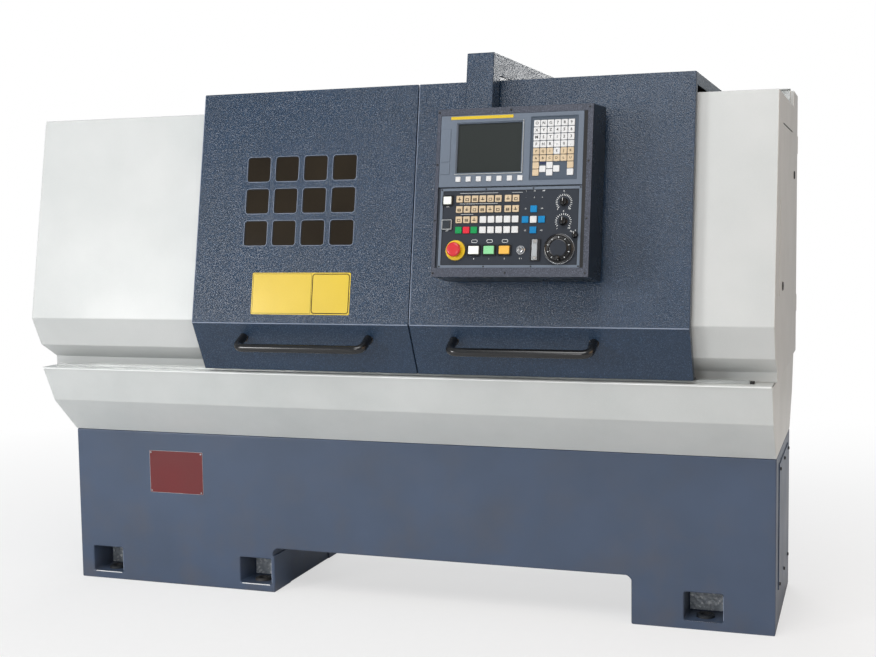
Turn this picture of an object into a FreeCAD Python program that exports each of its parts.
import FreeCAD, Part
import math
import os

from FreeCAD import Vector

# A flat bed turning lathe in a sheet metal enclosure, in millimetres.
# Pieces are drawn from the base's front left corner on the floor: X runs to the right, Y to the back,
# Z up. The finished pieces are shifted so that the origin is on the floor at the centre of the four
# corner anchor holes. Heights are from the floor, and a depth is positive behind the base's front.

# ---- sides that round pieces are drawn with ----
disc_sides = 56
collar_sides = 40
shaft_sides = 32
bar_sides = 20
pin_sides = 12

# ---- clearances ----
slide_gap = 0.3          # between two faces that slide on each other
shaft_gap = 0.05         # round a shaft in its bore
button_gap = 0.3         # round a button cap in its bezel
leaf_gap = 3.0           # between the two doors where they meet

# ---- base casting ----
base_length = 2300.0
base_depth = 560.0
base_height = 511.0
base_wall = 20.0
left_leg = 722.0         # length of the left leg
right_leg = 413.0        # length of the right leg
arch_height = 145.0
arch_radius = 12.0
rib_wall = 15.0

# ---- anchor pockets ----
anchor_edge_left = 105.0     # first anchor from the base's left end
anchor_edge_right = 203.0    # last anchor from the base's right end
anchor_inner = 659.0         # middle anchor from the base's left end
anchor_inset = 55.0          # anchors from the base's front and rear faces
anchor_radius = 12.0
pocket_width = 112.0
pocket_height = 84.0
pocket_depth = 110.0
pocket_floor = 25.0
pocket_wall = 12.0

# ---- chip tray ----
tray_sheet = 4.0
tray_fold_out = 121.0
tray_fold_rise = 115.0       # fold above the base
tray_lip_out = 177.0
tray_lip_rise = 229.0        # lip above the base
tray_front_flange = 97.0
tray_rear_flange = 180.0
drain_start = 1950.0
drain_length = 200.0
drain_width = 200.0

# ---- sheet metal enclosure ----
sheet = 3.0
door_fold_out = 246.0
door_fold_rise = 157.5       # fold above the tray lip
door_tilt = 10.5
door_lower_tilt = 26.6
door_rise = 850.0            # roof above the tray lip
door_lift = 9.0              # door bottom above the tray lip
door_start = 592.0
door_meet = 1292.0
door_end = 2090.0
door_return = 28.0
roof_return = 35.0
roof_setback = 105.0         # roof's rear hem in front of the rear guard
roof_hem = 45.0
cover_gap = 32.0             # cover's face behind the door's face
cover_drop = 56.0            # covers below the doors
cover_lower_rise = 72.0      # foot of the lower face above the tray lip
cover_skirt_rise = 28.0
cover_skirt_out = 89.0
cover_rear = 30.0            # rear walls behind the base's rear face
cover_overhang = 7.0
left_cover_end = 610.0
right_cover_start = 2060.0
cover_return = 30.0
nose_opening = 110.0         # radius round the spindle nose in the left cover's inner wall
slit_start = 61.0
slit_length = 426.0
slit_drop = 81.0             # below the cover's top
slit_width = 4.0
guard_flange = 150.0

# ---- door rails ----
rail_sheet = 2.0
rail_height = 8.0
rail_width = 27.0
rail_setback = 37.0          # rail's front face behind the tray lip's front edge
rail_start = 30.0
rail_end = 2237.0
top_rail_width = 25.0
roof_pad = 3.0               # between the top rail and the roof, pad and gap
top_rail_setback = 115.0     # upper rail in front of the rear guard
runner_length = 60.0
runner_inset = 45.0
runner_side_gap = 2.0

# ---- windows in the left door ----
window_columns = 4
window_rows = 3
window_size = 76.0
window_corner = 9.0
window_pitch_x = 93.3
window_pitch_v = 97.2
window_first_x = 790.0
window_first_v = 271.5
pane_margin = 22.0
pane_thick = 4.0

# ---- door handles ----
handle_radius = 12.5
handle_reach = 62.0
handle_drop = 48.0           # feet below the fold, along the lower face
handle_bend = 24.0
left_handle_start = 743.5
left_handle_length = 429.0
right_handle_start = 1410.0
right_handle_length = 429.0

# ---- control arm and box, measured from the door's upper face ----
arm_start = 1461.0
arm_width = 79.0
arm_front = 81.0
arm_back = 15.0
arm_gap = 10.0               # beam above the doors' roofs
arm_beam_depth = 62.0
arm_beam_end = 770.0
arm_foot_length = 160.0
arm_foot_margin = 40.0
box_start = 1410.0
box_width = 433.0            # at its front rim
box_bottom = 126.0
box_height = 457.5
box_skirt = 7.0              # front rim below the field's datum line
box_front = 153.0
box_depth = 128.0
box_rear_drop = 3.0
box_flare = 8.0              # right side wider at the back than at the rim
box_sheet = 3.0
field_margin_left = 7.5
field_margin_right = 24.0
field_margin_top = 18.0
field_margin_bottom = 17.5
field_recess = 5.0

# ---- display unit ----
unit_height = 199.5
unit_body_inset = 13.0
unit_body_depth = 68.0
opening_margin = 10.0
lcd_offset_x = 49.5
lcd_offset_v = 39.0
lcd_width = 182.0
lcd_height = 137.0
lcd_recess = 7.0
pane_gap = 1.0
screen_thick = 2.0
mdi_offset_x = 257.5
mdi_offset_v = 17.0
mdi_width = 126.0
mdi_height = 169.0
mdi_recess = 1.0
key_pitch = 18.9
key_row_pitch = 19.2
key_size = 17.0
key_thick = 3.0
key_columns = 6
key_full_rows = 6
soft_key_count = 7
soft_key_size = 14.0
soft_key_pitch = 29.1
soft_key_offset_x = 56.3
soft_key_offset_v = 21.0

# ---- operator panel ----
panel_plate = 2.0
panel_seam = 3.0
panel_margin = 7.0           # plain edge left of the panel's first column of places
op_key_size = 18.0
op_row_pitch = 28.5
op_first_row_v = 103.5
op_first_x = 56.0
op_key_pitch = 21.8
op_gap_pitch = 27.0
op_last_rows_x = 124.5
op_last_pitch = 22.5
pad_x = 264.8
pad_v = 130.3
pad_pitch_x = 22.6
pad_pitch_v = 28.5
bezel_wall = 3.5
bezel_proud = 5.0
cap_proud = 8.0
cap_travel = 3.0
lamp_v = 48.0
lamp_width = 29.0
lamp_height = 22.0
lamp_first_x = 102.2
lamp_pitch_x = 43.0
power_x = 22.0
power_width = 22.0
power_height = 21.0
power_on_v = 185.5
power_off_v = 119.0
stop_x = 50.0
stop_v = 48.0
stop_collar_radius = 28.5
stop_collar_thick = 4.0
stop_cap_radius = 19.6
stop_cap_thick = 16.0
stop_cap_edge = 4.0
stop_stem_size = 16.0
stop_travel = 5.0
knob_radius = 11.5
knob_thick = 15.0
knob_sides = 12
knob_x = 346.5
feed_knob_v = 176.0
speed_knob_v = 124.0
grip_width = 5.0
grip_thick = 5.0
axis_x = 380.0
axis_v = 87.0
axis_radius = 8.0
key_x = 232.8
key_v = 48.0
key_radius = 8.0
key_thick_out = 9.0
key_bow = 12.0
key_blade = 2.5
wheel_x = 338.0
wheel_v = 50.5
wheel_radius = 40.0
wheel_thick = 12.0
dial_radius = 43.0
dial_thick = 2.0
crank_offset = 26.0
crank_radius = 6.5
crank_length = 16.0
port_x = 260.5
port_v = 19.0
port_width = 25.5
port_height = 58.0
port_thick = 4.0

# ---- bed ----
bed_start = 120.0
bed_length = 2120.0
bed_foot_height = 25.0
bed_wall = 30.0
bed_rib = 20.0
bed_rib_count = 8
bed_height = 345.0           # top of the flat ways above the tray
way_thick = 60.0
way_width = 80.0
way_overhang = 20.0
way_foot = 5.0               # foot flange beyond the way's edge
vee_half = 18.0
vee_rise = 16.0
vee_inset = 40.0             # ridge of the vee from the bed's front edge
bed_front = 90.0
bed_width = 320.0

# ---- headstock and spindle ----
axis_depth = 250.0
centre_height = 230.0        # spindle axis above the ways
headstock_start = 130.0
headstock_length = 460.0
headstock_height = 390.0
headstock_round = 60.0
headstock_ring = 12.0
headstock_ring_radius = 90.0
spindle_start = 20.0
spindle_rear_radius = 40.0
spindle_radius = 45.0
nose_radius = 70.0
nose_length = 44.0
nose_gap = 4.0
bearing_radius = 70.0
bearing_width = 45.0
bearing_inset = 25.0
pulley_start = 35.0
pulley_width = 45.0
pulley_radius = 90.0
motor_pulley_radius = 60.0
motor_height = 290.0
motor_size = 220.0
motor_length = 355.0
motor_corner = 35.0
motor_shaft_radius = 19.0
motor_shaft_seat = 40.0
motor_bore_gap = 20.0
belt_thick = 8.0
belt_slot_gap = 12.0
belt_steps = 10
belt_gap = 1.5

# ---- chuck ----
chuck_radius = 105.0
chuck_length = 95.0
chuck_edge = 6.0
slot_width = 30.0
slot_depth = 28.0
jaw_inner = 30.0
jaw_outer = 95.0
jaw_step = 60.0
jaw_low = 18.0
jaw_high = 35.0
jaw_stroke = 5.0

# ---- carriage ----
saddle_start = 670.0
saddle_length = 400.0
saddle_front = 80.0          # in front of the bed's front edge
saddle_rear = 70.0           # behind the bed's rear edge
saddle_thick = 65.0
saddle_waist = 90.0          # wing beyond the bridge at each side
wing_thick = 35.0
groove_width = 60.0
groove_depth = 40.0
screw_offset = 40.0          # z screw in front of the bed's front edge
screw_drop = 120.0           # z screw below the ways
screw_radius = 16.0
journal_radius = 12.0
journal_length = 38.0
support_width = 40.0
support_left = 590.0
support_right = 2190.0
support_height = 100.0
servo_size = 108.0
servo_length = 150.0
apron_start = 90.0
apron_length = 220.0
apron_height = 160.0
apron_thick = 60.0
nut_gap = 0.3

# ---- cross slide and tool post ----
cross_width = 150.0
cross_length = 380.0
cross_thick = 40.0
cross_rest_front = -130.0
cross_travel = 200.0
cross_screw_radius = 10.0
cross_screw_drop = 20.0
cross_nut_length = 60.0
cross_nut_width = 40.0
post_depth_at_rest = -35.0
turret_size = 130.0
turret_height = 70.0
post_size = 120.0
post_height = 100.0
post_slot_bottom = 30.0
post_slot_height = 26.0
post_slot_depth = 30.0
tool_size = 25.0
tool_reach = 35.0
tool_nose = 20.0
cross_servo_size = 88.0
cross_servo_length = 95.0

# ---- tailstock ----
tail_start = 1790.0
tail_length = 250.0
tail_base_height = 90.0
tail_body_width = 150.0
tail_body_top = 75.0
quill_radius = 32.0
quill_out = 50.0
quill_bore_end = 30.0
centre_length = 60.0
tail_shaft_radius = 12.0
tail_shaft_length = 40.0
tail_wheel_radius = 70.0
tail_wheel_thick = 14.0
tail_grip_radius = 8.0
tail_grip_length = 45.0
tail_grip_offset = 55.0
lever_length = 130.0
lever_width = 16.0
lever_pin_radius = 10.0
lever_pin_seat = 30.0

# ---- electrical cabinet ----
cabinet_start = 1380.0
cabinet_end = 2304.0
cabinet_gap = 3.0            # behind the rear walls
cabinet_depth = 194.0
cabinet_frame = 25.0
cabinet_door_inset = 12.0
cabinet_door_thick = 20.0
hinge_radius = 7.0
hinge_length = 60.0
hinge_end_distance = 120.0
plate_margin = 60.0
plate_thick = 5.0
plate_stand = 15.0
drive_depth = 70.0
drive_heights = (330.0, 240.0)
drive_widths = (110.0, 70.0, 70.0, 90.0)
drive_gap = 20.0
cooler_start = 1700.0
cooler_end = 2270.0
cooler_height = 260.0        # below the cabinet's top
cooler_depth = 83.0
cooler_top_drop = 15.0
louvre_count = 6
louvre_pitch = 30.0
louvre_height = 8.0
louvre_depth = 10.0
louvre_margin = 60.0
latch_inset = 45.0
latch_rise = 420.0           # above the cabinet's foot
latch_shaft = 8.0
latch_grip_length = 60.0
latch_grip_width = 14.0
latch_grip_thick = 12.0
latch_cam_length = 45.0
latch_cam_width = 16.0
latch_cam_thick = 4.0
switch_x = 1600.0
switch_drop = 160.0          # below the cabinet's top
switch_plate = 66.0
switch_plate_thick = 4.0
switch_length = 56.0
switch_width = 18.0
switch_thick = 26.0

# ---- coolant unit and end plate ----
shelf_height = 130.0
shelf_thick = 12.0
tank_gap = 8.0
tank_height = 180.0
tank_depth = 320.0
pump_radius = 45.0
pump_height = 110.0
pump_offset = 80.0
end_opening_depth = 340.0
end_opening_height = 330.0
end_plate_margin = 20.0
end_plate_thick = 3.0

# ---- worked out ----
anchor_last = base_length - anchor_edge_right
origin_x = (anchor_edge_left + anchor_last) / 2
origin_y = base_depth / 2
anchor_xs = (anchor_edge_left, anchor_inner, anchor_last)
anchor_ys = (anchor_inset, base_depth - anchor_inset)
tray_top = base_height + tray_sheet
tray_fold_height = base_height + tray_fold_rise
tray_lip_height = base_height + tray_lip_rise
door_fold_height = tray_lip_height + door_fold_rise
door_top_height = tray_lip_height + door_rise
cover_top_height = door_top_height - cover_drop
cover_lower_height = tray_lip_height + cover_lower_rise
cover_skirt_height = tray_lip_height + cover_skirt_rise
slit_height = cover_top_height - slit_drop
top_rail_height = cover_drop - sheet - roof_pad
arm_top_height = door_top_height + arm_gap + arm_beam_depth
way_height = tray_top + bed_height
axis_height = way_height + centre_height
screw_height = way_height - screw_drop
latch_height = tray_lip_height + latch_rise
switch_height = door_top_height - switch_drop
cooler_bottom = door_top_height - cooler_height
tilt = math.radians(door_tilt)
lower_tilt = math.radians(door_lower_tilt)
door_bottom_height = tray_lip_height + door_lift
bed_rear = bed_front + bed_width
cover_back = base_depth + cover_rear
roof_back = cover_back - roof_setback
top_rail_back = cover_back - top_rail_setback
cabinet_front = cover_back + cabinet_gap
cabinet_back = cabinet_front + cabinet_depth
bed_end = bed_start + bed_length
tail_end = tail_start + tail_length
chuck_start = headstock_start + headstock_length + headstock_ring + nose_gap + nose_length
post_x = saddle_start + saddle_length / 2


# ---- helpers ----
def box(x0, x1, y0, y1, z0, z1):
    """A block between two corners."""
    return Part.makeBox(x1 - x0, y1 - y0, z1 - z0, Vector(x0, y0, z0))


def prism(points, x0, x1):
    """An outline of (y, z) points carried along X."""
    ring = [Vector(x0, y, z) for y, z in points]
    face = Part.Face(Part.makePolygon(ring + ring[:1]))
    return face.extrude(Vector(x1 - x0, 0, 0))


def side_step(points, distance):
    """The open line of (y, z) points moved sideways by distance, with mitred corners."""
    normals = []
    for (y0, z0), (y1, z1) in zip(points, points[1:]):
        run = math.hypot(y1 - y0, z1 - z0)
        normals.append(((z1 - z0) / run, -(y1 - y0) / run))
    moved = []
    for i, (y, z) in enumerate(points):
        before = normals[max(i - 1, 0)]
        after = normals[min(i, len(normals) - 1)]
        mitre = 1 + before[0] * after[0] + before[1] * after[1]
        moved.append((y + distance * (before[0] + after[0]) / mitre,
                      z + distance * (before[1] + after[1]) / mitre))
    return moved


def folded(points, thickness, x0, x1):
    """A folded sheet whose outer side is the line of (y, z) points, carried along X."""
    return prism(points + side_step(points, thickness)[::-1], x0, x1)


def ring_of(radius, height, sides):
    """A ring of flat sides, with its corners on the radius."""
    corners = [Vector(radius * math.cos(math.tau * i / sides),
                      radius * math.sin(math.tau * i / sides), height) for i in range(sides)]
    return Part.makePolygon(corners + corners[:1])


def stood(piece, start, direction):
    """Stand a piece that was drawn along Z at a start point, along a direction."""
    piece.Placement = FreeCAD.Placement(start, FreeCAD.Rotation(Vector(0, 0, 1), direction))
    return piece


def bar(radius, start, direction, length, sides):
    """A round bar, its corners on the radius."""
    piece = Part.Face(ring_of(radius, 0, sides)).extrude(Vector(0, 0, length))
    return stood(piece, start, direction)


def bore(radius, start, direction, length, sides):
    """The space of a round hole, its flats on the radius, so that a bar turns in it."""
    return bar(radius / math.cos(math.pi / sides), start, direction, length, sides)


def frustum(first, last, height, length, sides):
    """A flat sided length of a turned piece, from its first to its last radius."""
    if first == last:
        return Part.Face(ring_of(first, height, sides)).extrude(Vector(0, 0, length))
    lower = [v.Point for v in ring_of(first or last, height, sides).OrderedVertexes]
    upper = [v.Point for v in ring_of(last, height + length, sides).OrderedVertexes]
    faces = [Part.Face(Part.makePolygon(upper[::-1] + upper[-1:]))]
    if first:
        faces.append(Part.Face(Part.makePolygon(lower + lower[:1])))
    for i in range(sides):
        j = (i + 1) % sides
        if first:
            corners = [lower[i], lower[j], upper[j], upper[i]]
        else:
            corners = [Vector(0, 0, height), upper[j], upper[i]]
        faces.append(Part.Face(Part.makePolygon(corners + corners[:1])))
    shell = Part.makeShell(faces)
    shell.sewShape()
    solid = Part.makeSolid(shell)
    if solid.Volume < 0:
        solid.reverse()
    return solid


def turned(sections, start, direction, sides):
    """A turned piece of (length, first radius, last radius) sections, one after the other."""
    pieces = []
    height = 0
    for length, first, last in sections:
        pieces.append(frustum(first, last, height, length, sides))
        height += length
    return stood(joined(pieces), start, direction)


def joined(pieces):
    """Pieces that are one solid."""
    whole = pieces[0].fuse(list(pieces[1:])).removeSplitter()
    return whole.Solids[0] if len(whole.Solids) == 1 else whole


def on_face(piece):
    """Place a piece drawn on the door's upper face: Y into the machine, Z up from the fold."""
    piece.Placement = FreeCAD.Placement(
        Vector(0, -door_fold_out, door_fold_height),
        FreeCAD.Rotation(Vector(1, 0, 0), -door_tilt)).multiply(piece.Placement)
    return piece


def on_panel(piece):
    """Place a piece drawn on the control box: X from its left side, Z from its bottom edge."""
    piece.translate(Vector(box_start, -box_front, box_bottom))
    return on_face(piece)


parts = {}


def keep(name, shape):
    """Shift a finished piece to the origin and keep it under its name."""
    shape = shape.copy()
    shape.translate(Vector(-origin_x, -origin_y, 0))
    parts[name] = shape


# ---- outlines shared by doors, covers and tray ----
door_fold = (-door_fold_out, door_fold_height)
door_top = (-door_fold_out + (door_top_height - door_fold_height) * math.tan(tilt), door_top_height)
door_bottom = (-door_fold_out + (door_fold_height - door_bottom_height) * math.tan(lower_tilt),
               door_bottom_height)


def cover_outline():
    """The covers' outer line, from the front skirt over the top to the foot of the rear wall."""
    lower, fold, top = side_step([door_bottom, door_fold, door_top], cover_gap)
    lower_y = fold[0] + (fold[1] - cover_lower_height) * math.tan(lower_tilt)
    top_y = fold[0] + (cover_top_height - fold[1]) * math.tan(tilt)
    return [(-cover_skirt_out, tray_lip_height), (-cover_skirt_out, cover_skirt_height),
            (lower_y, cover_lower_height), fold, (top_y, cover_top_height),
            (cover_back, cover_top_height), (cover_back, tray_lip_height)]


def tray_outline():
    """The tray's outer line from the front lip under the bed to the rear lip."""
    rear = base_depth
    return [(-tray_lip_out, tray_lip_height), (-tray_fold_out, tray_fold_height), (0, base_height),
            (rear, base_height), (rear + tray_fold_out, tray_fold_height),
            (rear + tray_lip_out, tray_lip_height)]


# ---- base ----
def belt_slot(z0, z1):
    """The slot that the drive belt passes through."""
    reach = pulley_radius + belt_thick + belt_slot_gap
    return box(pulley_start - belt_slot_gap / 2, pulley_start + pulley_width + belt_slot_gap / 2,
               axis_depth - reach, axis_depth + reach, z0, z1)


def anchor_pocket(x, y, grow):
    """The pocket round an anchor, larger by grow on the inside."""
    front = y < base_depth / 2
    y0 = -1 if front else base_depth - pocket_depth - grow
    y1 = pocket_depth + grow if front else base_depth + 1
    floor = pocket_floor if grow == 0 else 0
    return box(x - pocket_width / 2 - grow, x + pocket_width / 2 + grow, y0, y1,
               floor, pocket_floor + pocket_height + grow)


def make_base():
    """The one piece cast base: two legs, a bridge, ribs, anchor pockets and openings."""
    top = base_height - base_wall
    arch_end = base_length - right_leg
    casting = box(0, base_length, 0, base_depth, 0, base_height)
    arch = box(left_leg, arch_end, -1, base_depth + 1, -1, arch_height)
    upper_edges = [e for e in arch.Edges if abs(e.CenterOfMass.z - arch_height) < 0.1
                   and abs(e.tangentAt(e.FirstParameter).y) > 0.9]
    arch = arch.makeChamfer(arch_radius, upper_edges)
    left_room = box(base_wall, left_leg - base_wall, base_wall, base_depth - base_wall, -1, top)
    right_room = box(arch_end + base_wall, base_length - base_wall,
                     base_wall, base_depth - base_wall, -1, top)
    bridge_room = box(left_leg, arch_end, base_wall, base_depth - base_wall, arch_height - 1, top)
    casting = casting.cut([arch, left_room, right_room, bridge_room])

    motor_face = headstock_start - belt_slot_gap
    motor_rib = box(motor_face - rib_wall, motor_face, base_wall, base_depth - base_wall,
                    pocket_floor + pocket_height + pocket_wall + rib_wall, top)
    shaft_hole = bore(motor_shaft_radius + motor_bore_gap,
                      Vector(motor_face - rib_wall - 1, axis_depth, motor_height),
                      Vector(1, 0, 0), rib_wall + 2, bar_sides)
    shelf = box(arch_end + base_wall, base_length - base_wall, base_wall, base_depth - base_wall,
                shelf_height - shelf_thick, shelf_height)
    span = (arch_end - left_leg) / 3
    ribs = [box(left_leg + i * span - rib_wall / 2, left_leg + i * span + rib_wall / 2,
                base_wall, base_depth - base_wall, arch_height + base_wall, top) for i in (1, 2)]
    inside = box(0, base_length, 0, base_depth, 0, base_height)
    walls = [anchor_pocket(x, y, pocket_wall).common(inside) for x in anchor_xs for y in anchor_ys]
    casting = joined([casting, motor_rib.cut(shaft_hole), shelf] + ribs + walls)

    cuts = [anchor_pocket(x, y, 0) for x in anchor_xs for y in anchor_ys]
    cuts += [Part.makeCylinder(anchor_radius, pocket_floor + 2, Vector(x, y, -1))
             for x in anchor_xs for y in anchor_ys]
    cuts.append(belt_slot(top - 1, base_height + 1))
    cuts.append(drain(top - 1, base_height + 1))
    cuts.append(end_opening(0))
    return joined([casting.cut(cuts)])


def drain(z0, z1):
    """The opening that lets coolant fall from the tray into the tank."""
    middle = base_depth / 2
    return box(drain_start, drain_start + drain_length,
               middle - drain_width / 2, middle + drain_width / 2, z0, z1)


def end_opening(margin):
    """The opening in the base's right end, or its plate's outline with a margin."""
    middle = base_depth / 2
    return box(base_length - base_wall - 1, base_length + 1,
               middle - end_opening_depth / 2 - margin, middle + end_opening_depth / 2 + margin,
               shelf_height - margin, shelf_height + end_opening_height + margin)


def make_end_plate():
    """The flat plate that closes the base's right end."""
    outline = end_opening(end_plate_margin)
    plate = box(base_length, base_length + end_plate_thick, 0, base_depth, 0, base_height)
    wide = outline.BoundBox
    return plate.common(box(base_length - 1, base_length + end_plate_thick + 1,
                            wide.YMin, wide.YMax, wide.ZMin, wide.ZMax))


def make_coolant_unit():
    """The coolant tank on its shelf with the pump standing on its lid."""
    x0 = base_length - right_leg + base_wall + tank_gap
    x1 = base_length - base_wall - tank_gap
    middle = base_depth / 2
    tank = box(x0, x1, middle - tank_depth / 2, middle + tank_depth / 2,
               shelf_height, shelf_height + tank_height)
    lip = box(x0 - tank_gap / 2, x1 + tank_gap / 2, middle - tank_depth / 2 - tank_gap / 2,
              middle + tank_depth / 2 + tank_gap / 2,
              shelf_height + tank_height - tank_gap, shelf_height + tank_height)
    pump = bar(pump_radius, Vector(x1 - pump_offset, middle, shelf_height + tank_height),
               Vector(0, 0, 1), pump_height, bar_sides)
    return joined([tank, lip, pump])


# ---- tray, covers, guard and rails ----
def make_chip_tray():
    """The folded tray between base and bed, with inward lip flanges and closed ends."""
    outer = tray_outline()
    rear_lip = base_depth + tray_lip_out
    line = [(-tray_lip_out + tray_front_flange, tray_lip_height)] + outer
    line.append((rear_lip - tray_rear_flange, tray_lip_height))
    trough = folded(line, -tray_sheet, 0, base_length)
    ends = [prism(outer, x, x + tray_sheet) for x in (0, base_length - tray_sheet)]
    end_flanges = [box(x, x + tray_front_flange / 2, -tray_lip_out + 1, rear_lip - 1,
                       tray_lip_height - tray_sheet, tray_lip_height)
                   for x in (0, base_length - tray_front_flange / 2)]
    cuts = [belt_slot(base_height - 1, tray_top + 1), drain(base_height - 1, tray_top + 1)]
    belt_space = belt_slot(tray_top, tray_lip_height + 1)
    return joined([trough] + ends + end_flanges).cut(cuts + [belt_space])


def make_left_cover():
    """The headstock's cover: folded skin, end wall, and inner wall round the spindle nose."""
    line = cover_outline()
    skin = folded(line, sheet, -cover_overhang, left_cover_end)
    end = prism(line, -cover_overhang, -cover_overhang + sheet)
    inner = prism(line, left_cover_end - sheet, left_cover_end)
    nose = bore(nose_opening, Vector(left_cover_end - sheet - 1, axis_depth, axis_height),
                Vector(1, 0, 0), sheet + 2, shaft_sides)
    bed_opening = box(left_cover_end - sheet - 1, left_cover_end + 1,
                      bed_front - saddle_front - way_overhang, bed_rear + way_overhang,
                      tray_lip_height - 1, way_height + vee_rise + way_overhang)
    return joined([skin, end, inner.cut([nose, bed_opening])])


def make_right_cover():
    """The tail end's cover: folded skin, slotted end wall and a return round its open side."""
    line = cover_outline()
    right = base_length + cover_overhang
    skin = folded(line, sheet, right_cover_start, right)
    lip = folded(line, cover_return, right_cover_start, right_cover_start + sheet)
    end = prism(line, right - sheet, right)
    slit = box(right - sheet - 1, right + 1, slit_start, slit_start + slit_length,
               slit_height - slit_width / 2, slit_height + slit_width / 2)
    return joined([skin, lip, end.cut(slit)])


def make_rear_guard():
    """The splash guard behind the bed, folded forward at the top to carry the door rail."""
    line = [(cover_back, tray_lip_height), (cover_back, cover_top_height),
            (cover_back - guard_flange, cover_top_height)]
    return folded(line, -sheet, left_cover_end, right_cover_start)


def rail_face():
    """The lower rail's front and rear face."""
    front = -tray_lip_out + rail_setback
    return front, front + rail_width


def make_lower_rail():
    """The open channel on the tray lip that guides the doors' feet."""
    front, rear = rail_face()
    line = [(front, tray_lip_height + rail_height), (front, tray_lip_height),
            (rear, tray_lip_height), (rear, tray_lip_height + rail_height)]
    return folded(line, -rail_sheet, rail_start, rail_end)


def make_upper_rail():
    """The channel along the top that carries the doors' roofs."""
    front = top_rail_back - top_rail_width
    top = cover_top_height + top_rail_height
    line = [(front, cover_top_height), (top_rail_back, cover_top_height), (top_rail_back, top),
            (front, top)]
    return folded(line, -sheet, 0, base_length)


# ---- doors ----
def door_shell(x0, x1):
    """A door: foot flange, lower face, upper face, roof and rear hem, with returned edges."""
    front, rear = rail_face()
    line = [(rear, door_bottom_height), door_bottom, door_fold, door_top,
            (roof_back, door_top_height), (roof_back, door_top_height - roof_hem)]
    skin = folded(line, sheet, x0, x1)
    pieces = [skin]
    roof_flange_end = top_rail_back - top_rail_width - runner_side_gap * 5
    for x in (x0, x1 - sheet):
        pieces.append(folded([door_bottom, door_fold, door_top], door_return, x, x + sheet))
        pieces.append(box(x, x + sheet, door_top[0] + sheet, roof_flange_end,
                          door_top_height - roof_return, door_top_height))
    gap = rail_sheet + runner_side_gap
    rail_top = cover_top_height + top_rail_height
    for x in (x0 + runner_inset, x1 - runner_inset - runner_length):
        pieces.append(box(x, x + runner_length, front + gap, rear - gap,
                          tray_lip_height + rail_sheet + slide_gap, door_bottom_height))
        pieces.append(box(x, x + runner_length, top_rail_back - top_rail_width + sheet,
                          top_rail_back - sheet, rail_top + slide_gap, door_top_height - sheet))
    return joined(pieces)


def window_cutter(column, row):
    """One window opening with rounded corners, on the door's face."""
    x = window_first_x + column * window_pitch_x - window_size / 2
    v = window_first_v + row * window_pitch_v - window_size / 2
    turn = window_corner * (1 - math.sqrt(0.5))
    corner = [(0, window_corner), (turn, turn), (window_corner, 0)]
    far = window_size
    outline = (corner + [(far - a, b) for a, b in reversed(corner)]
               + [(far - a, far - b) for a, b in corner]
               + [(a, far - b) for a, b in reversed(corner)])
    points = [Vector(x + a, -1, v + b) for a, b in outline]
    face = Part.Face(Part.makePolygon(points + points[:1]))
    return on_face(face.extrude(Vector(0, sheet + 2, 0)))


def make_left_door():
    """The left door with its grid of windows."""
    shell = door_shell(door_start, door_meet - leaf_gap / 2)
    windows = [window_cutter(c, r) for c in range(window_columns) for r in range(window_rows)]
    return joined([shell.cut(windows)])


def make_right_door():
    """The right door, plain."""
    return door_shell(door_meet + leaf_gap / 2, door_end)


def make_window_pane():
    """The pane behind the left door's windows."""
    half = window_size / 2 + pane_margin
    last_x = window_first_x + (window_columns - 1) * window_pitch_x
    last_v = window_first_v + (window_rows - 1) * window_pitch_v
    return on_face(box(window_first_x - half, last_x + half, sheet, sheet + pane_thick,
                       window_first_v - half, last_v + half))


def make_handle(start, length):
    """A bent tube handle that stands square to the door's lower face."""
    foot = Vector(0, -door_fold_out + handle_drop * math.sin(lower_tilt),
                  door_fold_height - handle_drop * math.cos(lower_tilt))
    out = Vector(0, -math.cos(lower_tilt), -math.sin(lower_tilt))
    along = Vector(1, 0, 0)
    first = foot + along * (start + handle_radius)
    last = foot + along * (start + length - handle_radius)
    points = [first, first + out * (handle_reach - handle_bend),
              first + out * handle_reach + along * handle_bend,
              last + out * handle_reach - along * handle_bend,
              last + out * (handle_reach - handle_bend), last]
    path = Part.makePolygon(points)
    section = stood(ring_of(handle_radius, 0, bar_sides), first, out)
    return path.makePipeShell([section], True, False, 1)


# ---- control arm and box ----
def face_point(y, v):
    """The (y, z) place of a point drawn on the door's upper face."""
    return (-door_fold_out + v * math.sin(tilt) + y * math.cos(tilt),
            door_fold_height + v * math.cos(tilt) - y * math.sin(tilt))


def face_line_at(y, height):
    """The depth at a height of the line that lies y behind the door's upper face."""
    y0, z0 = face_point(y, 0)
    return y0 + (height - z0) * math.tan(tilt)


def make_control_arm():
    """The column over the right door and its beam back to the cabinet's top, in one box section."""
    low = face_point(-box_front, box_bottom + box_height)[1]
    beam = arm_top_height - arm_beam_depth
    outline = [(face_line_at(-arm_front, low), low),
               (face_line_at(-arm_front, arm_top_height), arm_top_height),
               (arm_beam_end, arm_top_height), (arm_beam_end, beam),
               (face_line_at(-arm_back, beam), beam), (face_line_at(-arm_back, low), low)]
    arm = prism(outline, arm_start, arm_start + arm_width)
    foot = box(arm_start - arm_foot_margin, arm_start + arm_width + arm_foot_margin,
               arm_beam_end - arm_foot_length, arm_beam_end, door_top_height, beam)
    return joined([arm, foot])


def panel_box(x0, x1, y0, y1, v0, v1):
    """A block on the control box, y measured inward from its front rim."""
    return on_panel(box(x0, x1, y0, y1, v0, v1))


def field_edges():
    """Left, right, bottom and top edges of the recessed field in the control box's front."""
    return (field_margin_left, box_width - field_margin_right,
            field_margin_bottom, box_height - field_margin_top)


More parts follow.
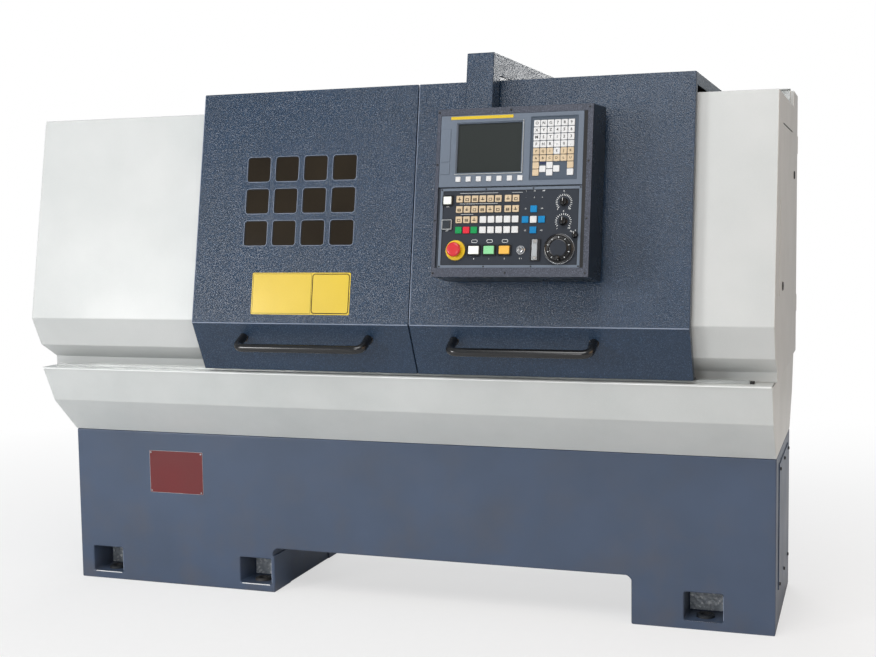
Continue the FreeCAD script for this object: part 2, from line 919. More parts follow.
def beyond_flare(inset):
    """The room to the right of the control box's flared side, moved inward by inset."""
    slope = box_flare / box_depth
    near = box_width - inset - slope * 2
    far = box_width - inset + slope * (box_depth + 2)
    ring = [Vector(x, y, -box_depth) for x, y in ((near, -2), (near + box_depth, -2),
                                                  (far + box_depth, box_depth + 2), (far, box_depth + 2))]
    return Part.Face(Part.makePolygon(ring + ring[:1])).extrude(Vector(0, 0, box_height + box_depth * 2))


def make_control_box():
    """The control housing: a level top, a sloping underside, a flared side and a recessed frame."""
    rise = box_depth * math.tan(tilt)
    outline = [(0, -box_skirt), (0, box_height), (box_depth, box_height + rise),
               (box_depth, -box_rear_drop)]
    inner = side_step(outline + outline[:2], box_sheet)
    room = [inner[4], inner[1], inner[2], inner[3]]
    housing = prism(outline, 0, box_width + box_flare).cut(beyond_flare(0))
    cavity = prism(room, box_sheet, box_width + box_flare).cut(beyond_flare(box_sheet))
    left, right, bottom, top = field_edges()
    front_block = box(0, box_width + box_flare, -1, field_recess + box_sheet, -box_skirt - 1,
                      box_height + rise)
    cavity = cavity.cut(front_block)
    field = box(left, right, -1, field_recess, bottom, top)
    split = top - unit_height - panel_seam / 2
    unit_hole = box(left + opening_margin, right - opening_margin, -1,
                    field_recess + box_sheet + 1, split + opening_margin, top - opening_margin)
    panel_hole = box(left + opening_margin, right - opening_margin, -1,
                     field_recess + box_sheet + 1, bottom + opening_margin, split - opening_margin)
    return on_panel(joined([housing.cut([cavity, field, unit_hole, panel_hole])]))


def unit_origin():
    """The display unit's left bottom corner on the control box."""
    left, right, bottom, top = field_edges()
    return left, top - unit_height


def make_display_unit():
    """The display's bezel and body, with the screen recess and the keyboard field."""
    left, right, bottom, top = field_edges()
    x, v = unit_origin()
    inset = unit_body_inset
    bezel = box(left, right, 0, field_recess, v, top)
    body = box(left + inset, right - inset, field_recess, field_recess + unit_body_depth,
               v + inset, top - inset)
    screen_hole = box(x + lcd_offset_x, x + lcd_offset_x + lcd_width, -1, lcd_recess,
                      v + lcd_offset_v, v + lcd_offset_v + lcd_height)
    field = box(x + mdi_offset_x, x + mdi_offset_x + mdi_width, -1, mdi_recess,
                v + mdi_offset_v, v + mdi_offset_v + mdi_height)
    return on_panel(joined([joined([bezel, body]).cut([screen_hole, field])]))


def make_screen():
    """The display's glass at the bottom of its recess."""
    x, v = unit_origin()
    return panel_box(x + lcd_offset_x + pane_gap, x + lcd_offset_x + lcd_width - pane_gap,
                     lcd_recess - screen_thick, lcd_recess,
                     v + lcd_offset_v + pane_gap, v + lcd_offset_v + lcd_height - pane_gap)


def key_cap(x, v, size, seat):
    """One key centred at x and v, standing on a face at depth seat."""
    return panel_box(x - size / 2, x + size / 2, seat - key_thick, seat, v - size / 2, v + size / 2)


def make_display_keys():
    """The keyboard's keys and the row of keys under the screen."""
    x, v = unit_origin()
    first_x = x + mdi_offset_x + (mdi_width - (key_columns - 1) * key_pitch) / 2
    last_row = key_full_rows + 1
    first_v = v + mdi_offset_v + (mdi_height - last_row * key_row_pitch) / 2
    keys = []
    for row in range(key_full_rows):
        for column in range(key_columns):
            keys.append(key_cap(first_x + column * key_pitch,
                                first_v + (row + 2) * key_row_pitch, key_size, mdi_recess))
    for row in (0, 1):
        for column in (0, key_columns - 1):
            keys.append(key_cap(first_x + column * key_pitch, first_v + row * key_row_pitch,
                                key_size, mdi_recess))
    arrows = ((1, 0.5), (2, 0), (2, 1), (3, 0.5))
    for column, row in arrows:
        keys.append(key_cap(first_x + column * key_pitch, first_v + row * key_row_pitch,
                            key_size, mdi_recess))
    for i in range(soft_key_count):
        keys.append(key_cap(x + soft_key_offset_x + i * soft_key_pitch, v + soft_key_offset_v,
                            soft_key_size, 0))
    return Part.makeCompound(keys)


def op_key_places():
    """Centres of the operator panel's square keys, from the panel's left bottom corner."""
    places = []
    for row in (2, 3):
        for i in range(8):
            gap = op_gap_pitch - op_key_pitch if i > 5 else 0
            places.append((op_first_x + i * op_key_pitch + gap, op_first_row_v + row * op_row_pitch))
    for row in (0, 1):
        places += [(op_first_x + i * op_key_pitch, op_first_row_v + row * op_row_pitch)
                   for i in range(3)]
        places += [(op_last_rows_x + i * op_last_pitch, op_first_row_v + row * op_row_pitch)
                   for i in range(5)]
    cross = ((0, 0), (-1, 0), (1, 0), (0, -1), (0, 1))
    places += [(pad_x + i * pad_pitch_x, pad_v + j * pad_pitch_v) for i, j in cross]
    return places


def op_place(x, v):
    """A place on the operator panel, in the control box's frame."""
    left, right, bottom, top = field_edges()
    return left + panel_margin + x, bottom + v


def make_panel_keys():
    """The square keys of the operator panel."""
    seat = field_recess - panel_plate
    return Part.makeCompound([key_cap(*op_place(x, v), op_key_size, seat)
                              for x, v in op_key_places()])


def lamp_caps():
    """Name, centre and size of each lit push button on the operator panel."""
    caps = {"ready_button": (lamp_first_x, lamp_v, lamp_width, lamp_height)}
    caps["start_button"] = (lamp_first_x + lamp_pitch_x, lamp_v, lamp_width, lamp_height)
    caps["hold_button"] = (lamp_first_x + 2 * lamp_pitch_x, lamp_v, lamp_width, lamp_height)
    caps["power_on_button"] = (power_x, power_on_v, power_width, power_height)
    caps["power_off_button"] = (power_x, power_off_v, power_width, power_height)
    return caps


def make_operator_panel():
    """The operator's plate with button bezels, stop collar, wheel dial and port cover."""
    left, right, bottom, top = field_edges()
    face = field_recess - panel_plate
    plate = box(left, right, face, field_recess, bottom, top - unit_height - panel_seam)
    pieces = [plate]
    holes = []
    for x, v, width, height in lamp_caps().values():
        x, v = op_place(x, v)
        half_x = width / 2 + button_gap
        half_v = height / 2 + button_gap
        pieces.append(box(x - half_x - bezel_wall, x + half_x + bezel_wall, face - bezel_proud, face,
                          v - half_v - bezel_wall, v + half_v + bezel_wall))
        holes.append(box(x - half_x, x + half_x, face - bezel_proud - 1, field_recess + 1,
                         v - half_v, v + half_v))
    x, v = op_place(stop_x, stop_v)
    pieces.append(bar(stop_collar_radius, Vector(x, face, v), Vector(0, -1, 0), stop_collar_thick,
                      collar_sides))
    half = stop_stem_size / 2 + button_gap
    holes.append(box(x - half, x + half, face - stop_collar_thick - 1, field_recess + 1,
                     v - half, v + half))
    x, v = op_place(wheel_x, wheel_v)
    pieces.append(bar(dial_radius, Vector(x, face, v), Vector(0, -1, 0), dial_thick, disc_sides))
    x, v = op_place(port_x, port_v)
    pieces.append(box(x, x + port_width, face - port_thick, face, v, v + port_height))
    return on_panel(joined([joined(pieces).cut(holes)]))


def make_cap(x, v, width, height):
    """One lit push button's cap."""
    x, v = op_place(x, v)
    face = field_recess - panel_plate
    return panel_box(x - width / 2, x + width / 2, face - cap_proud, field_recess,
                     v - height / 2, v + height / 2)


def make_stop_button():
    """The emergency stop's mushroom cap on its square plunger."""
    x, v = op_place(stop_x, stop_v)
    face = field_recess - panel_plate
    back = face - stop_collar_thick - stop_travel - slide_gap
    cap = turned([(stop_cap_thick - stop_cap_edge, stop_cap_radius, stop_cap_radius),
                  (stop_cap_edge, stop_cap_radius, stop_cap_radius - stop_cap_edge)],
                 Vector(x, back, v), Vector(0, -1, 0), collar_sides)
    half = stop_stem_size / 2
    stem = box(x - half, x + half, back, field_recess, v - half, v + half)
    return on_panel(joined([cap, stem]))


def make_knob(x, v, radius):
    """A fluted selector knob with a raised grip."""
    x, v = op_place(x, v)
    back = field_recess - panel_plate - slide_gap
    skirt = bar(radius, Vector(x, back, v), Vector(0, -1, 0), knob_thick, knob_sides)
    grip = box(x - grip_width / 2, x + grip_width / 2, back - knob_thick - grip_thick,
               back - knob_thick, v - radius * 0.9, v + radius * 0.9)
    return on_panel(joined([skirt, grip]))


def make_key_switch():
    """The turning barrel of the key switch with its key."""
    x, v = op_place(key_x, key_v)
    back = field_recess - panel_plate - slide_gap
    barrel = bar(key_radius, Vector(x, back, v), Vector(0, -1, 0), key_thick_out, bar_sides)
    bow = box(x - key_blade / 2, x + key_blade / 2, back - key_thick_out - key_bow,
              back - key_thick_out, v - key_bow / 2, v + key_bow / 2)
    return on_panel(joined([barrel, bow]))


def make_pulse_wheel():
    """The hand pulse wheel with its crank grip."""
    x, v = op_place(wheel_x, wheel_v)
    back = field_recess - panel_plate - dial_thick - slide_gap
    disc = bar(wheel_radius, Vector(x, back, v), Vector(0, -1, 0), wheel_thick, disc_sides)
    grip = bar(crank_radius, Vector(x, back - wheel_thick, v - crank_offset),
               Vector(0, -1, 0), crank_length, pin_sides)
    return on_panel(joined([disc, grip]))


# ---- bed ----
def way_cutter(gap, x0, x1):
    """The space that the ways take out of what stands on them, with a gap round the vee."""
    ridge = bed_front + vee_inset
    slope = vee_rise / vee_half
    half = vee_half + gap / slope
    outline = [(ridge - half, way_height), (ridge, way_height + vee_rise + gap),
               (ridge + half, way_height)]
    return prism(outline, x0, x1)


def make_bed():
    """The bed: a vee way and a flat way on two walls with cross ribs, and the screw supports."""
    under = way_height - way_thick
    foot = tray_top + bed_foot_height
    ridge = bed_front + vee_inset
    inner = bed_front + way_width
    wall_front = bed_front + way_overhang
    front_wall = [(bed_front - way_foot, tray_top), (inner - way_overhang, tray_top),
                  (inner - way_overhang, foot), (wall_front + bed_wall, foot),
                  (wall_front + bed_wall, under), (inner, under), (inner, way_height),
                  (ridge + vee_half, way_height), (ridge, way_height + vee_rise),
                  (ridge - vee_half, way_height), (bed_front, way_height), (bed_front, under),
                  (wall_front, under), (wall_front, foot), (bed_front - way_foot, foot)]
    rear_inner = bed_rear - way_width
    wall_rear = bed_rear - way_overhang
    rear_wall = [(rear_inner + way_overhang, tray_top), (bed_rear + way_foot, tray_top),
                 (bed_rear + way_foot, foot), (wall_rear, foot), (wall_rear, under),
                 (bed_rear, under), (bed_rear, way_height), (rear_inner, way_height),
                 (rear_inner, under), (wall_rear - bed_wall, under), (wall_rear - bed_wall, foot),
                 (rear_inner + way_overhang, foot)]
    walls = [prism(w, bed_start, bed_end) for w in (front_wall, rear_wall)]
    pitch = (bed_length - bed_rib) / (bed_rib_count - 1)
    ribs = [box(bed_start + i * pitch, bed_start + i * pitch + bed_rib,
                wall_front + bed_wall - 1, wall_rear - bed_wall + 1, foot, under)
            for i in range(bed_rib_count)]
    screw_y = bed_front - screw_offset
    supports = []
    for x in (support_left, support_right):
        block = box(x, x + support_width, screw_y - support_width / 2 - journal_radius,
                    wall_front, under - support_height, under)
        supports.append(block)
    bed = joined(walls + ribs + supports)
    bores = [bore(journal_radius + shaft_gap, Vector(x, screw_y, screw_height), Vector(1, 0, 0),
                  support_width + 2, pin_sides)
             for x in (support_left + 1, support_right - 1)]
    return joined([bed.cut(bores)])


def make_z_screw():
    """The long ball screw with its two journals."""
    left = support_left + 2
    right = support_right + journal_length
    first = support_left + support_width + 2
    last = support_right - 2
    return turned([(first - left, journal_radius, journal_radius),
                   (last - first, screw_radius, screw_radius),
                   (right - last, journal_radius, journal_radius)],
                  Vector(left, bed_front - screw_offset, screw_height), Vector(1, 0, 0), pin_sides)


def square_motor(size, corner, start, end, middle):
    """A square motor body with cut corners, along X, centred on middle (y, z)."""
    half = size / 2
    flat = half - corner
    outline = [(-half, -flat), (-half, flat), (-flat, half), (flat, half),
               (half, flat), (half, -flat), (flat, -half), (-flat, -half)]
    return prism([(middle[0] + y, middle[1] + z) for y, z in outline], start, end)


def make_z_servo():
    """The servo motor at the long screw's left end."""
    middle = (bed_front - screw_offset, screw_height)
    return square_motor(servo_size, servo_size / 8, support_left - servo_length, support_left, middle)


# ---- headstock, spindle and drive ----
def make_headstock():
    """The headstock housing with its chamfered crown, nose ring and the spindle's bearing bore."""
    end = headstock_start + headstock_length
    housing = box(headstock_start, end, bed_front, bed_rear,
                  way_height, way_height + headstock_height)
    crown = [e for e in housing.Edges if e.CenterOfMass.z > way_height + headstock_height - 1
             and abs(e.tangentAt(e.FirstParameter).x) > 0.9]
    housing = housing.makeChamfer(headstock_round, crown)
    ring = bar(headstock_ring_radius, Vector(end, axis_depth, axis_height),
               Vector(1, 0, 0), headstock_ring, shaft_sides)
    relief = way_cutter(slide_gap, headstock_start - 1, end + 1)
    bearing = bore(spindle_radius + shaft_gap, Vector(headstock_start - 1, axis_depth, axis_height),
                   Vector(1, 0, 0), headstock_length + headstock_ring + 2, shaft_sides)
    return joined([joined([housing, ring]).cut([relief, bearing])])


def make_spindle():
    """The spindle: pulley seat, bearing length and nose flange, closed by its draw bar."""
    rear = headstock_start - spindle_start - nose_gap
    flange = chuck_start - nose_length - spindle_start
    nose = chuck_start - spindle_start
    return turned([(rear, spindle_rear_radius, spindle_rear_radius),
                   (flange - rear, spindle_radius, spindle_radius),
                   (nose - flange, nose_radius, nose_radius)],
                  Vector(spindle_start, axis_depth, axis_height), Vector(1, 0, 0), shaft_sides)


def make_spindle_pulley():
    """The driven pulley on the spindle's rear end."""
    middle = Vector(pulley_start, axis_depth, axis_height)
    seat = bar(spindle_rear_radius, middle, Vector(1, 0, 0), pulley_width, shaft_sides)
    return bar(pulley_radius, middle, Vector(1, 0, 0), pulley_width, shaft_sides).cut(seat)


def make_motor_pulley():
    """The motor's pulley with its shaft."""
    shaft_end = headstock_start - belt_slot_gap + motor_shaft_seat - pulley_start
    return turned([(pulley_width, motor_pulley_radius, motor_pulley_radius),
                   (shaft_end - pulley_width, motor_shaft_radius, motor_shaft_radius)],
                  Vector(pulley_start, axis_depth, motor_height), Vector(1, 0, 0), bar_sides)


def make_spindle_motor():
    """The main motor, flanged to the rib inside the base's left leg."""
    face = headstock_start - belt_slot_gap
    body = square_motor(motor_size, motor_corner, face, face + motor_length,
                        (axis_depth, motor_height))
    shaft_hole = bore(motor_shaft_radius + shaft_gap, Vector(face - 1, axis_depth, motor_height),
                      Vector(1, 0, 0), motor_shaft_seat + 3, bar_sides)
    return body.cut(shaft_hole)


def belt_loop(grow, x0, x1):
    """The solid inside a belt line that runs round both pulleys, larger by grow."""
    upper = pulley_radius + grow
    lower = motor_pulley_radius + grow
    lean = math.asin((upper - lower) / (axis_height - motor_height))
    wrap = math.pi + 2 * lean
    points = []
    for i in range(belt_steps + 1):
        angle = -lean + wrap * i / belt_steps
        points.append((axis_depth + upper * math.cos(angle), axis_height + upper * math.sin(angle)))
    wrap = math.pi - 2 * lean
    for i in range(belt_steps + 1):
        angle = math.pi + lean + wrap * i / belt_steps
        points.append((axis_depth + lower * math.cos(angle), motor_height + lower * math.sin(angle)))
    return prism(points, x0, x1)


def make_drive_belt():
    """The drive belt from the motor up to the spindle."""
    x1 = pulley_start + pulley_width
    outer = belt_loop(belt_gap + belt_thick, pulley_start, x1)
    return outer.cut(belt_loop(belt_gap, pulley_start - 1, x1 + 1))


# ---- chuck ----
def around_axis(piece, angle):
    """Turn a piece about the spindle's axis."""
    piece = piece.copy()
    piece.rotate(Vector(0, axis_depth, axis_height), Vector(1, 0, 0), angle)
    return piece


def make_chuck_body():
    """The chuck's body with three radial slots for the jaws."""
    body = turned([(chuck_length - chuck_edge, chuck_radius, chuck_radius),
                   (chuck_edge, chuck_radius, chuck_radius - chuck_edge)],
                  Vector(chuck_start, axis_depth, axis_height), Vector(1, 0, 0), collar_sides)
    face = chuck_start + chuck_length
    half = slot_width / 2 + slide_gap
    slot = box(face - slot_depth, face + 1, axis_depth - half, axis_depth + half,
               axis_height + jaw_inner - jaw_stroke * 2, axis_height + chuck_radius + 1)
    return joined([body.cut([around_axis(slot, 120 * i) for i in range(3)])])


def make_jaw(index):
    """One stepped jaw in its slot."""
    face = chuck_start + chuck_length
    half = slot_width / 2
    root = face - slot_depth + slide_gap
    z = axis_height
    foot = box(root, face + jaw_low, axis_depth - half, axis_depth + half, z + jaw_inner, z + jaw_outer)
    step = box(face, face + jaw_high, axis_depth - half, axis_depth + half, z + jaw_inner, z + jaw_step)
    return around_axis(joined([foot, step]), 120 * index)


# ---- carriage ----
def make_saddle():
    """The saddle: bridge and wings over the ways, a groove for the cross screw, and the apron."""
    seat = way_height + slide_gap
    top = seat + saddle_thick
    x0 = saddle_start
    x1 = saddle_start + saddle_length
    y0 = bed_front - saddle_front
    y1 = bed_rear + saddle_rear
    wings = box(x0, x1, y0, y1, seat, seat + wing_thick)
    bridge = box(x0 + saddle_waist, x1 - saddle_waist, y0, y1, seat, top)
    screw_y = bed_front - screw_offset
    apron_x = x0 + apron_start
    apron = box(apron_x, apron_x + apron_length, screw_y - apron_thick / 2, screw_y + apron_thick / 2,
                way_height - apron_height, seat)
    nut = bore(screw_radius + nut_gap, Vector(apron_x - 1, screw_y, screw_height),
               Vector(1, 0, 0), apron_length + 2, pin_sides)
    groove = box(post_x - groove_width / 2, post_x + groove_width / 2, y0 + way_foot,
                 y1 - way_overhang, top - groove_depth, top + 1)
    journal = bore(cross_screw_radius + shaft_gap, Vector(post_x, y1 - way_overhang - 1,
                   top - cross_screw_drop), Vector(0, 1, 0), way_overhang + 2, pin_sides)
    vee = way_cutter(slide_gap * 2, x0 - 1, x1 + 1)
    return joined([joined([wings, bridge, apron]).cut([nut, groove, journal, vee])])


def cross_level():
    """The height of the cross slide's underside."""
    return way_height + slide_gap + saddle_thick + slide_gap


def make_cross_screw():
    """The cross ball screw in the saddle's groove."""
    y0 = bed_front - saddle_front + way_foot + slide_gap
    y1 = bed_rear + saddle_rear - slide_gap
    z = way_height + slide_gap + saddle_thick - cross_screw_drop
    return bar(cross_screw_radius, Vector(post_x, y0, z), Vector(0, 1, 0), y1 - y0, pin_sides)


def make_cross_servo():
    """The servo motor at the back of the saddle."""
    y0 = bed_rear + saddle_rear
    z = way_height + slide_gap + saddle_thick - cross_screw_drop
    half = cross_servo_size / 2
    return box(post_x - half, post_x + half, y0, y0 + cross_servo_length, z - half, z + half)


def make_cross_slide():
    """The cross slide with its nut and the indexing base of the tool post."""
    z0 = cross_level()
    z1 = z0 + cross_thick
    y0 = cross_rest_front
    slide = box(post_x - cross_width / 2, post_x + cross_width / 2, y0, y0 + cross_length, z0, z1)
    turret = box(post_x - turret_size / 2, post_x + turret_size / 2,
                 post_depth_at_rest - turret_size / 2, post_depth_at_rest + turret_size / 2,
                 z1, z1 + turret_height)
    screw_z = z0 - slide_gap - cross_screw_drop
    nut_y = y0 + cross_length - cross_nut_length
    nut = box(post_x - cross_nut_width / 2, post_x + cross_nut_width / 2, nut_y,
              nut_y + cross_nut_length, screw_z - cross_screw_radius - way_foot, z0)
    thread = bore(cross_screw_radius + nut_gap, Vector(post_x, nut_y - 1, screw_z),
                  Vector(0, 1, 0), cross_nut_length + 2, pin_sides)
    return joined([joined([slide, turret, nut]).cut(thread)])


def post_level():
    """The height of the tool post's underside."""
    return cross_level() + cross_thick + turret_height + slide_gap


def make_tool_post():
    """The four way tool post: base, core and clamping plate round an open slot."""
    z = post_level()
    half = post_size / 2
    core = half - post_slot_depth
    block = box(post_x - half, post_x + half, post_depth_at_rest - half, post_depth_at_rest + half,
                z, z + post_height)
    ring = box(post_x - half - 1, post_x + half + 1, post_depth_at_rest - half - 1,
               post_depth_at_rest + half + 1, z + post_slot_bottom,
               z + post_slot_bottom + post_slot_height)
    inner = box(post_x - core, post_x + core, post_depth_at_rest - core, post_depth_at_rest + core,
                z + post_slot_bottom, z + post_slot_bottom + post_slot_height)
    return joined([block.cut(ring.cut(inner))])


def make_turning_tool():
    """A square shank tool with a ground nose, clamped in the post's left slot."""
    z = post_level() + post_slot_bottom
    x1 = post_x - post_size / 2 + post_slot_depth
    x0 = x1 - tool_size
    y0 = post_depth_at_rest - post_size / 2
    y1 = post_depth_at_rest + post_size / 2 + tool_reach
    ring = [Vector(x0, y0, z), Vector(x1, y0, z), Vector(x1, y1 - tool_nose, z),
            Vector(x0, y1, z), Vector(x0 - tool_nose / 4, y1 - tool_nose / 4, z),
            Vector(x0, y1 - tool_nose, z)]
    return Part.Face(Part.makePolygon(ring + ring[:1])).extrude(Vector(0, 0, tool_size))


# ---- tailstock ----
def make_tailstock():
    """The tailstock: a base over the ways and a body bored for the quill."""
    seat = way_height + slide_gap
    base = box(tail_start, tail_end, bed_front, bed_rear, seat, seat + tail_base_height)
    half = tail_body_width / 2
    low = seat + tail_base_height
    top = axis_height + tail_body_top
    outline = [(axis_depth - half * 1.3, low), (axis_depth - half, axis_height - half / 2),
               (axis_depth - half, top - half / 2), (axis_depth - half / 2, top),
               (axis_depth + half / 2, top), (axis_depth + half, top - half / 2),
               (axis_depth + half, axis_height - half / 2), (axis_depth + half * 1.3, low)]
    body = prism(outline, tail_start, tail_end)
    vee = way_cutter(slide_gap * 2, tail_start - 1, tail_end + 1)
    barrel = bore(quill_radius + shaft_gap, Vector(tail_start - 1, axis_depth, axis_height),
                  Vector(1, 0, 0), tail_length - quill_bore_end + 1, bar_sides)
    back = bore(tail_shaft_radius + shaft_gap, Vector(tail_start, axis_depth, axis_height),
                Vector(1, 0, 0), tail_length + 1, pin_sides)
    lever_hole = bore(lever_pin_radius + shaft_gap, Vector((tail_start + tail_end) / 2,
                      bed_front - 1, seat + tail_base_height / 2), Vector(0, 1, 0),
                      lever_pin_seat + 2, pin_sides)
    return joined([joined([base, body]).cut([vee, barrel, back, lever_hole])])


def make_quill():
    """The quill with the cone centre in its nose."""
    length = quill_out + tail_length - quill_bore_end - tail_shaft_length / 2
    neck = quill_radius * 0.7
    return turned([(centre_length * 0.6, 0, neck), (centre_length * 0.4, neck, neck),
                   (length, quill_radius, quill_radius)],
                  Vector(tail_start - quill_out - centre_length, axis_depth, axis_height),
                  Vector(1, 0, 0), bar_sides)


def make_tail_wheel():
    """The quill's handwheel with its grip and shaft."""
    x = tail_end + tail_shaft_length
    disc = bar(tail_wheel_radius, Vector(x, axis_depth, axis_height), Vector(1, 0, 0),
               tail_wheel_thick, shaft_sides)
    shaft = bar(tail_shaft_radius, Vector(tail_end - quill_bore_end + slide_gap, axis_depth,
                axis_height), Vector(1, 0, 0), tail_shaft_length + quill_bore_end - slide_gap,
                pin_sides)
    grip = bar(tail_grip_radius, Vector(x + tail_wheel_thick, axis_depth,
               axis_height + tail_grip_offset), Vector(1, 0, 0), tail_grip_length, pin_sides)
    return joined([disc, shaft, grip])


def make_tail_lever():
    """The lever that clamps the tailstock to the bed."""
    x = (tail_start + tail_end) / 2
    z = way_height + slide_gap + tail_base_height / 2
    pin = bar(lever_pin_radius, Vector(x, bed_front - lever_width, z), Vector(0, 1, 0),
              lever_width + lever_pin_seat, pin_sides)
    arm = box(x - lever_width / 2, x + lever_width / 2, bed_front - lever_width, bed_front - slide_gap,
              z - lever_width, z + lever_length)
    return joined([pin, arm])


# ---- electrical cabinet ----
def make_cabinet():
    """The cabinet's folded shell with a frame round its rear opening and hinge barrels."""
    y0 = cabinet_front
    y1 = cabinet_back
    shell = box(cabinet_start, cabinet_end, y0, y1, tray_lip_height, door_top_height)
    room = box(cabinet_start + sheet, cabinet_end - sheet, y0 + sheet, y1 - sheet,
               tray_lip_height + sheet, door_top_height - sheet)
    doorway = box(cabinet_start + cabinet_frame, cabinet_end - cabinet_frame, y1 - sheet - 1, y1 + 1,
                  tray_lip_height + cabinet_frame, door_top_height - cabinet_frame)
    return joined([shell.cut([room, doorway])])


def make_cabinet_gear():
    """The mounting plate inside the cabinet with the drives on it."""
    y = cabinet_front + sheet + plate_stand
    x0 = cabinet_start + plate_margin
    x1 = cabinet_end - plate_margin
    z0 = tray_lip_height + plate_margin
    z1 = door_top_height - plate_margin
    pieces = [box(x0, x1, y, y + plate_thick, z0, z1)]
    for x in (x0, x1 - plate_stand):
        pieces.append(box(x, x + plate_stand, cabinet_front + sheet, y, z0, z1))
    top = z1 - plate_margin
    for height in drive_heights:
        x = x0 + plate_margin
        for width in drive_widths:
            pieces.append(box(x, x + width, y + plate_thick, y + plate_thick + drive_depth,
                              top - height, top))
            x += width + drive_gap
        top -= height + plate_margin
    return joined(pieces)


def hinge_axis():
    """The cabinet door's hinge line (x, y)."""
    return (cabinet_end - cabinet_door_inset + hinge_radius - 1,
            cabinet_back + slide_gap + cabinet_door_thick / 2)


def make_cabinet_door():
    """The rear door, a shallow pan, with the switch's plate and the cooling unit on it."""
    x0 = cabinet_start + cabinet_door_inset
    x1 = cabinet_end - cabinet_door_inset - hinge_radius * 2
    y0 = cabinet_back + slide_gap
    y1 = y0 + cabinet_door_thick
    z0 = tray_lip_height + cabinet_door_inset
    z1 = door_top_height - cabinet_door_inset
    panel = box(x0, x1, y0, y1, z0, z1)
    hollow = box(x0 + sheet, x1 - sheet, y0 - 1, y1 - sheet, z0 + sheet, z1 - sheet)
    hx, hy = hinge_axis()
    pieces = [panel.cut(hollow)]
    for z in (z0 + hinge_end_distance, z1 - hinge_end_distance - hinge_length):
        pieces.append(bar(hinge_radius, Vector(hx, hy, z), Vector(0, 0, 1), hinge_length, pin_sides))
        pieces.append(box(x1 - sheet, hx, hy - sheet, hy + sheet, z, z + hinge_length))
    pieces.append(box(switch_x - switch_plate / 2, switch_x + switch_plate / 2, y1,
                      y1 + switch_plate_thick, switch_height - switch_plate / 2,
                      switch_height + switch_plate / 2))
    hole = latch_block(latch_shaft + shaft_gap * 6, y1 - sheet - 1, y1 + 1)
    return joined([joined(pieces).cut(hole), make_cooling_unit()])


def latch_block(size, y0, y1):
    """A square round the latch's axis."""
    x = cabinet_start + cabinet_door_inset + latch_inset
    return box(x - size / 2, x + size / 2, y0, y1, latch_height - size / 2, latch_height + size / 2)


def make_cabinet_latch():
    """The latch's grip, shaft and cam behind the frame."""
    x = cabinet_start + cabinet_door_inset + latch_inset
    y1 = cabinet_back + slide_gap + cabinet_door_thick
    grip = box(x - latch_grip_width / 2, x + latch_grip_width / 2, y1 + slide_gap,
               y1 + slide_gap + latch_grip_thick, latch_height - latch_grip_width / 2,
               latch_height + latch_grip_length)
    cam_y = cabinet_back - sheet - slide_gap - latch_cam_thick
    shaft = bar(latch_shaft / 2, Vector(x, cam_y, latch_height), Vector(0, 1, 0), y1 + 1 - cam_y,
                pin_sides)
    cam = box(x - latch_cam_width / 2, x + latch_cam_width / 2, cam_y, cam_y + latch_cam_thick,
              latch_height - latch_cam_width / 2, latch_height + latch_cam_length)
    return joined([grip, shaft, cam])


def make_main_switch():
    """The main switch's turning handle."""
    y = cabinet_back + slide_gap + cabinet_door_thick + switch_plate_thick + slide_gap
    half = switch_width / 2
    ring = [Vector(switch_x - half * 0.6, y, switch_height + switch_length / 2),
            Vector(switch_x + half * 0.6, y, switch_height + switch_length / 2),
            Vector(switch_x + half, y, switch_height), Vector(switch_x + half * 0.6, y,
            switch_height - switch_length / 2),
            Vector(switch_x - half * 0.6, y, switch_height - switch_length / 2),
            Vector(switch_x - half, y, switch_height)]
    return Part.Face(Part.makePolygon(ring + ring[:1])).extrude(Vector(0, switch_thick, 0))


def make_cooling_unit():
    """The cooling unit on the cabinet door, with a sloped top and louvres in its back."""
    y0 = cabinet_back + slide_gap + cabinet_door_thick
    y1 = y0 + cooler_depth
    top = door_top_height - cabinet_door_inset
    outline = [(y0, cooler_bottom), (y0, top), (y1, top - cooler_top_drop), (y1, cooler_bottom)]
    housing = prism(outline, cooler_start, cooler_end)
    louvres = [box(cooler_start + louvre_margin, cooler_end - louvre_margin, y1 - louvre_depth, y1 + 1,
                   cooler_bottom + louvre_margin / 2 + i * louvre_pitch,
                   cooler_bottom + louvre_margin / 2 + i * louvre_pitch + louvre_height)
               for i in range(louvre_count)]
    return housing.cut(louvres)


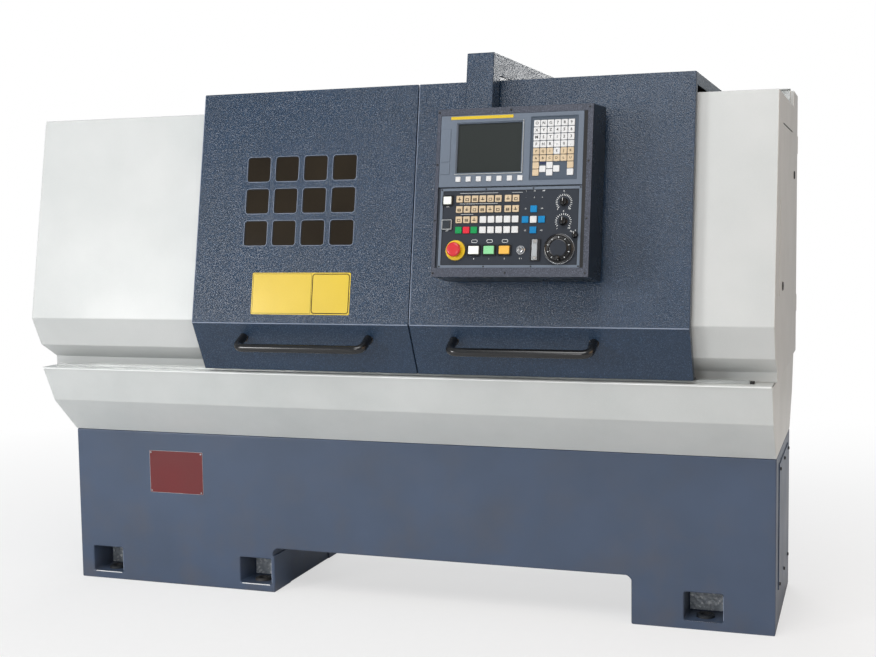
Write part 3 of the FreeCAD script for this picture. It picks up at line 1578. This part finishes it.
# ---- all pieces ----
keep("base", make_base())
keep("end_plate", make_end_plate())
keep("coolant_unit", make_coolant_unit())
keep("chip_tray", make_chip_tray())
keep("left_cover", make_left_cover())
keep("right_cover", make_right_cover())
keep("rear_guard", make_rear_guard())
keep("lower_rail", make_lower_rail())
keep("upper_rail", make_upper_rail())
keep("left_door", make_left_door())
keep("right_door", make_right_door())
keep("window_pane", make_window_pane())
keep("left_handle", make_handle(left_handle_start, left_handle_length))
keep("right_handle", make_handle(right_handle_start, right_handle_length))
keep("control_arm", make_control_arm())
keep("control_box", make_control_box())
keep("display_unit", make_display_unit())
keep("screen", make_screen())
keep("display_keys", make_display_keys())
keep("operator_panel", make_operator_panel())
keep("panel_keys", make_panel_keys())
for cap_name, (cap_x, cap_v, cap_width, cap_height) in lamp_caps().items():
    keep(cap_name, make_cap(cap_x, cap_v, cap_width, cap_height))
keep("stop_button", make_stop_button())
keep("feed_knob", make_knob(knob_x, feed_knob_v, knob_radius))
keep("speed_knob", make_knob(knob_x, speed_knob_v, knob_radius))
keep("axis_knob", make_knob(axis_x, axis_v, axis_radius))
keep("key_switch", make_key_switch())
keep("pulse_wheel", make_pulse_wheel())
keep("bed", make_bed())
keep("z_screw", make_z_screw())
keep("z_servo", make_z_servo())
keep("headstock", make_headstock())
keep("spindle", make_spindle())
keep("spindle_pulley", make_spindle_pulley())
keep("motor_pulley", make_motor_pulley())
keep("spindle_motor", make_spindle_motor())
keep("drive_belt", make_drive_belt())
keep("chuck_body", make_chuck_body())
for jaw_index in range(3):
    keep("chuck_jaw_%d" % (jaw_index + 1), make_jaw(jaw_index))
keep("saddle", make_saddle())
keep("cross_screw", make_cross_screw())
keep("cross_servo", make_cross_servo())
keep("cross_slide", make_cross_slide())
keep("tool_post", make_tool_post())
keep("turning_tool", make_turning_tool())
keep("tailstock", make_tailstock())
keep("quill", make_quill())
keep("tail_wheel", make_tail_wheel())
keep("tail_lever", make_tail_lever())
keep("cabinet", make_cabinet())
keep("cabinet_gear", make_cabinet_gear())
keep("cabinet_door", make_cabinet_door())
keep("cabinet_latch", make_cabinet_latch())
keep("main_switch", make_main_switch())

os.makedirs("parts", exist_ok=True)
for name, shape in parts.items():
    shape.exportStep("parts/%s.step" % name)
print(len(parts), "pieces written")
